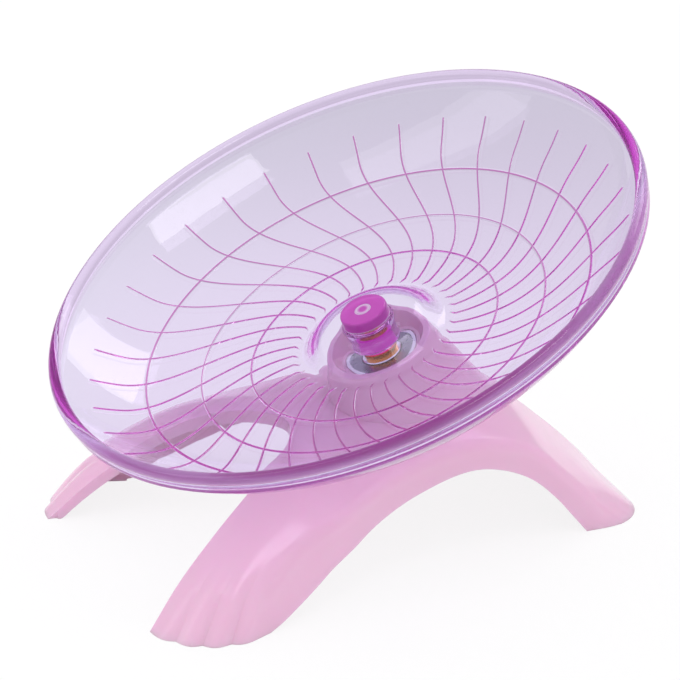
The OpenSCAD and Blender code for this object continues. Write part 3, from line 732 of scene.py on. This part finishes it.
def metal_material(name, colour, roughness, mark_depth=0.000003):
    """Bare metal with turned marks of its own depth."""
    material, tree, shader, _ = fresh_material(name)
    surfaced(tree, shader, finish_group(tree, "Turned marks", turned_marks, Roughness=roughness,
                                        Mark_depth=mark_depth))
    shader.inputs["Base Color"].default_value = (*colour, 1)
    shader.inputs["Metallic"].default_value = 1.0
    return material


def dress(nodes, material):
    """Gives carried-over CAD nodes their finish."""
    for name in nodes:
        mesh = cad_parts[name].data
        mesh.materials.clear()
        mesh.materials.append(material)


# Operators

class WHEEL_OT_saucer(bpy.types.Operator):
    """Builds the clear saucer with its post, collar, lip and grip ribs"""
    bl_idname = "wheel.saucer"
    bl_label = "Clear Saucer"

    def execute(self, context):
        s = saucer_sizes()
        clear = clear_material("Clear lilac", s.surface, s.dye, s.dye_strength, deep=(s.cap, s.edge))
        shape = SaucerShape(s)
        points, faces = shape.surface()
        made = mesh_object("clear_saucer", on_axis(points), faces, clear, "saucer")
        shape.marked(made)
        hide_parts("running_dish")
        return {"FINISHED"}


class WHEEL_OT_axle(bpy.types.Operator):
    """Gives the bush, pin, washer and screw their finishes"""
    bl_idname = "wheel.axle"
    bl_label = "Axle"

    def execute(self, context):
        f = finishes()
        # painted light: the bush is given a faint glow in its own colour, though it is no lamp
        dress(["pin_bush"], clear_material("Magenta bush", f.bush, f.bush_dye, f.bush_strength, 0.12,
                                           clarity=f.bush_clarity, glow=0.3))
        dress(["axle_pin"], metal_material("Brass", f.brass, 0.22))
        dress(["axle_washer", "axle_screw"], metal_material("Zinc plate", f.zinc, 0.3))
        return {"FINISHED"}


class WHEEL_OT_bearing(bpy.types.Operator):
    """Gives the ball bearing's rings, balls, cage and shields their finishes"""
    bl_idname = "wheel.bearing"
    bl_label = "Ball Bearing"

    def execute(self, context):
        f = finishes()
        balls = [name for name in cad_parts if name.startswith("ball_")]
        dress(["bearing_inner_ring", "bearing_outer_ring"], metal_material("Ground steel", f.steel, 0.1))
        dress(balls, metal_material("Polished balls", f.steel, 0.05, 0.0))
        dress(["upper_shield", "lower_shield", "cage_upper", "cage_lower", "cage_rivets"],
              metal_material("Pressed steel", f.sheet, 0.28))
        return {"FINISHED"}


class WHEEL_OT_stand(bpy.types.Operator):
    """Builds the pink stand: its shell, the wall under its arch, and the bearing's boss, bored out"""
    bl_idname = "wheel.stand"
    bl_label = "Stand"
    hard_edge = 38  # degrees of turn from which an edge isn't smoothed
    boss_top, boss_drop = -26.6, 59  # height of the boss's rim from the saucer's, and its depth, in mm
    boss_radius, boss_flare = 15.6, 0.3  # radius of the boss's rim, and what it widens for each mm down
    seat_top, seat_radius, seat_floor = -29.8, 11.0, -36.8  # the bearing's seat

    def execute(self, context):
        shape, lift = StandShape(), -saucer_sizes().set_back / MM
        shell, arch, over = (
            solid(name, (points + [0, lift, 0]) * MM, faces)
            for name, (points, faces) in (("stand_skin", shape.shell()), ("arch_wall", shape.arch_wall()),
                                          ("over_skin", shape.over_skin())))
        boss = combine(self.turned("boss", self.boss_path()), [("INTERSECT", over)])
        bore = self.turned("bore", self.bore_path())
        made = combine(shell, [("UNION", arch), ("UNION", boss), ("DIFFERENCE", bore)])
        made.name = made.data.name = "pink_stand"
        mesh = made.data
        mesh.polygons.foreach_set("use_smooth", np.ones(len(mesh.polygons), bool))
        mesh.set_sharp_from_angle(angle=math.radians(self.hard_edge))
        mesh.materials.clear()
        mesh.materials.append(plastic_material("Pink plastic", finishes().stand, 0.12, scatter=0.4))
        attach(made, "stand")
        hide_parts("stand_shell")
        return {"FINISHED"}

    def turned(self, name, path):
        """A solid of revolution about the spin axis."""
        points, faces = revolved(path)
        return solid(name, on_axis(points), faces)

    def boss_path(self):
        """The boss's cone, from its rounded rim down to the ground."""
        top, foot = self.boss_top, self.boss_top - self.boss_drop
        near, far = self.boss_radius, self.boss_radius + self.boss_flare * self.boss_drop
        return rounded([(0, top), (near, top), (far, foot), (0, foot)], [0.5, 0])

    def bore_path(self):
        """What is cut out of the boss: the mouth, the cup, the bearing's seat, the hole through the ledge and
        the wide cone below it."""
        top, r, floor = self.seat_top, self.seat_radius, self.seat_floor
        return rounded([(0, -20), (13.8, -20), (13.8, self.boss_top), (12.0, top), (r, top), (r, floor),
                        (8.4, floor), (8.4, -38.8), (17.06, -38.8), (25.2, -65.9), (0, -65.9)],
                       [0, 0.3, 0.15, 0, 0.2, 0.25, 0, 1.0, 0])


class WHEEL_OT_stage(bpy.types.Operator):
    """Sets the floor, the soft lights, the even room light and the camera"""
    bl_idname = "wheel.stage"
    bl_label = "Stage"

    def execute(self, context):
        g = context.scene.wheel_stage
        self.floor(g)
        self.room(context.scene, g)
        self.lights()
        self.camera(context.scene, g)
        context.scene.view_settings.view_transform = "Standard"
        self.light_paths(context.scene.cycles)
        return {"FINISHED"}

    def light_paths(self, cycles):
        """Lets light bounce often enough inside the clear plastic to come out of its edges again."""
        cycles.max_bounces = 32
        cycles.glossy_bounces = cycles.transmission_bounces = 28
        cycles.transparent_max_bounces = 24

    def floor(self, g):
        """A wide matt floor that camera and mirror rays see as mostly paper, with the object's shadow kept.
        Seen through clear plastic, it falls off smoothly to the backdrop's tone round the wheel."""
        mesh = bpy.data.meshes.new("floor")
        mesh.from_pydata([(-6, -6, 0), (6, -6, 0), (6, 6, 0), (-6, 6, 0)], [], [(0, 1, 2, 3)])
        material = bpy.data.materials.new("Pale floor")
        material.use_nodes = True
        tree = material.node_tree
        tree.nodes.clear()
        matt = add(tree, "ShaderNodeBsdfDiffuse", {"Color": (0.9, 0.9, 0.9, 1)})
        path = add(tree, "ShaderNodeLightPath")
        place = add(tree, "ShaderNodeTexCoord").outputs["Object"]
        far = add(tree, "ShaderNodeVectorMath", {0: place}, operation="LENGTH")
        tone = add(tree, "ShaderNodeMapRange", {"Value": far.outputs["Value"], "From Min": 0.1,
                                                "From Max": 0.3, "To Min": g.paper,
                                                "To Max": g.paper * g.behind},
                   interpolation_type="SMOOTHSTEP")
        seen = add(tree, "ShaderNodeMix", {"Factor": path.outputs["Is Transmission Ray"], "A": g.paper,
                                           "B": tone.outputs[0]})
        paper = add(tree, "ShaderNodeEmission", {"Color": (1, 1, 1, 1), "Strength": seen.outputs[0]})
        straight = maths(tree, "MAXIMUM", path.outputs["Is Camera Ray"], path.outputs["Is Glossy Ray"])
        straight = maths(tree, "MAXIMUM", straight, path.outputs["Is Transmission Ray"])
        part = maths(tree, "MULTIPLY", straight, 0.85)
        mix = add(tree, "ShaderNodeMixShader", {0: part, 1: matt.outputs[0], 2: paper.outputs[0]})
        add(tree, "ShaderNodeOutputMaterial", {"Surface": mix.outputs[0]})
        mesh.materials.append(material)
        shown("floor", mesh)

    def room(self, scene, g):
        """Paper for the camera and through clear plastic, a dimmer room in mirrors, and even daylight."""
        world = bpy.data.worlds.new("Room")
        world.use_nodes = True
        tree = world.node_tree
        tree.nodes.clear()
        path = add(tree, "ShaderNodeLightPath")
        straight = maths(tree, "MAXIMUM", path.outputs["Is Camera Ray"], path.outputs["Is Transmission Ray"])
        dimmed = add(tree, "ShaderNodeMapRange", {"Value": path.outputs["Is Glossy Ray"],
                                                  "To Min": g.daylight, "To Max": g.mirrored})
        even = add(tree, "ShaderNodeBackground", {"Color": (1, 1, 1, 1), "Strength": dimmed.outputs[0]})
        paper = add(tree, "ShaderNodeBackground", {"Color": (1, 1, 1, 1), "Strength": g.paper})
        mix = add(tree, "ShaderNodeMixShader", {0: straight, 1: even.outputs[0], 2: paper.outputs[0]})
        add(tree, "ShaderNodeOutputWorld", {"Surface": mix.outputs[0]})
        scene.world = world

    def lights(self):
        """Three softboxes, each with its direction from the object, distance, width, height, the direction of
        its height and its brightness. Their places are read from the photograph's highlights."""
        for name, direction, distance, width, height, tall, glow in (
                ("overhead", (0.30, -0.03, 0.95), 1.2, 0.36, 0.66, (0.3, -0.95, 0), 2.6),
                ("front", (-0.24, -0.74, 0.63), 1.3, 0.42, 1.1, (0, 0, 1), 0.9),
                ("back left", (-0.45, 0.50, 0.74), 1.3, 0.4, 0.7, (-0.7, -0.7, 0), 1.8)):
            lamp = bpy.data.lights.new(name, "AREA")
            lamp.shape, lamp.size, lamp.size_y = "RECTANGLE", width, height
            lamp.energy = glow * math.pi * width * height
            obj = shown(name, lamp)
            away = Vector(direction).normalized()
            obj.location = Vector((0, 0, 0.06)) + away * distance
            along = (Vector(tall) - away * away.dot(Vector(tall))).normalized()
            obj.rotation_mode = "QUATERNION"
            obj.rotation_quaternion = Matrix((along.cross(away), along, away)).transposed().to_quaternion()

    def camera(self, scene, g):
        """Looks at the rim's centre from the photograph's direction, moved aside and up in its own plane."""
        s = saucer_sizes()
        a, e = g.azimuth, g.elevation
        back = Vector((math.sin(a) * math.cos(e), -math.cos(a) * math.cos(e), math.sin(e)))
        right = Vector((math.cos(a), math.sin(a), 0))
        up = back.cross(right)
        data = bpy.data.cameras.new("camera")
        data.lens, data.sensor_width, data.clip_start, data.clip_end = g.lens, 36.0, 0.1, 50.0
        camera = shown("camera", data)
        rim = Vector((0, -s.set_back, s.rim_height))
        camera.location = rim + back * g.distance + right * g.aside + up * g.above
        camera.rotation_mode = "QUATERNION"
        camera.rotation_quaternion = (-back).to_track_quat("-Z", "Y")
        scene.camera = camera


class WHEEL_PT_panel(bpy.types.Panel):
    """Lists the wheel's pieces"""
    bl_idname = "WHEEL_PT_panel"
    bl_label = "Exercise Wheel"
    bl_space_type = "VIEW_3D"
    bl_region_type = "UI"
    bl_category = "Wheel"

    def draw(self, context):
        for piece in PIECES:
            self.layout.operator(piece.bl_idname)
        for group in (saucer_sizes(), finishes(), context.scene.wheel_stage):
            for key in group.bl_rna.properties.keys():
                if key not in ("rna_type", "name"):
                    self.layout.prop(group, key)


PIECES = (WHEEL_OT_saucer, WHEEL_OT_axle, WHEEL_OT_bearing, WHEEL_OT_stand, WHEEL_OT_stage)
CLASSES = (WHEEL_PG_saucer, WHEEL_PG_finishes, WHEEL_PG_stage, *PIECES, WHEEL_PT_panel)


def register():
    for cls in CLASSES:
        bpy.utils.register_class(cls)
    bpy.types.Scene.wheel_saucer = bpy.props.PointerProperty(type=WHEEL_PG_saucer)
    bpy.types.Scene.wheel_finishes = bpy.props.PointerProperty(type=WHEEL_PG_finishes)
    bpy.types.Scene.wheel_stage = bpy.props.PointerProperty(type=WHEEL_PG_stage)


def unregister():
    for key in ("wheel_saucer", "wheel_finishes", "wheel_stage"):
        delattr(bpy.types.Scene, key)
    for cls in reversed(CLASSES):
        bpy.utils.unregister_class(cls)


def main():
    register()
    bpy.ops.wheel.saucer()
    bpy.ops.wheel.axle()
    bpy.ops.wheel.bearing()
    bpy.ops.wheel.stand()
    bpy.ops.wheel.stage()


if __name__ == "__main__":
    main()
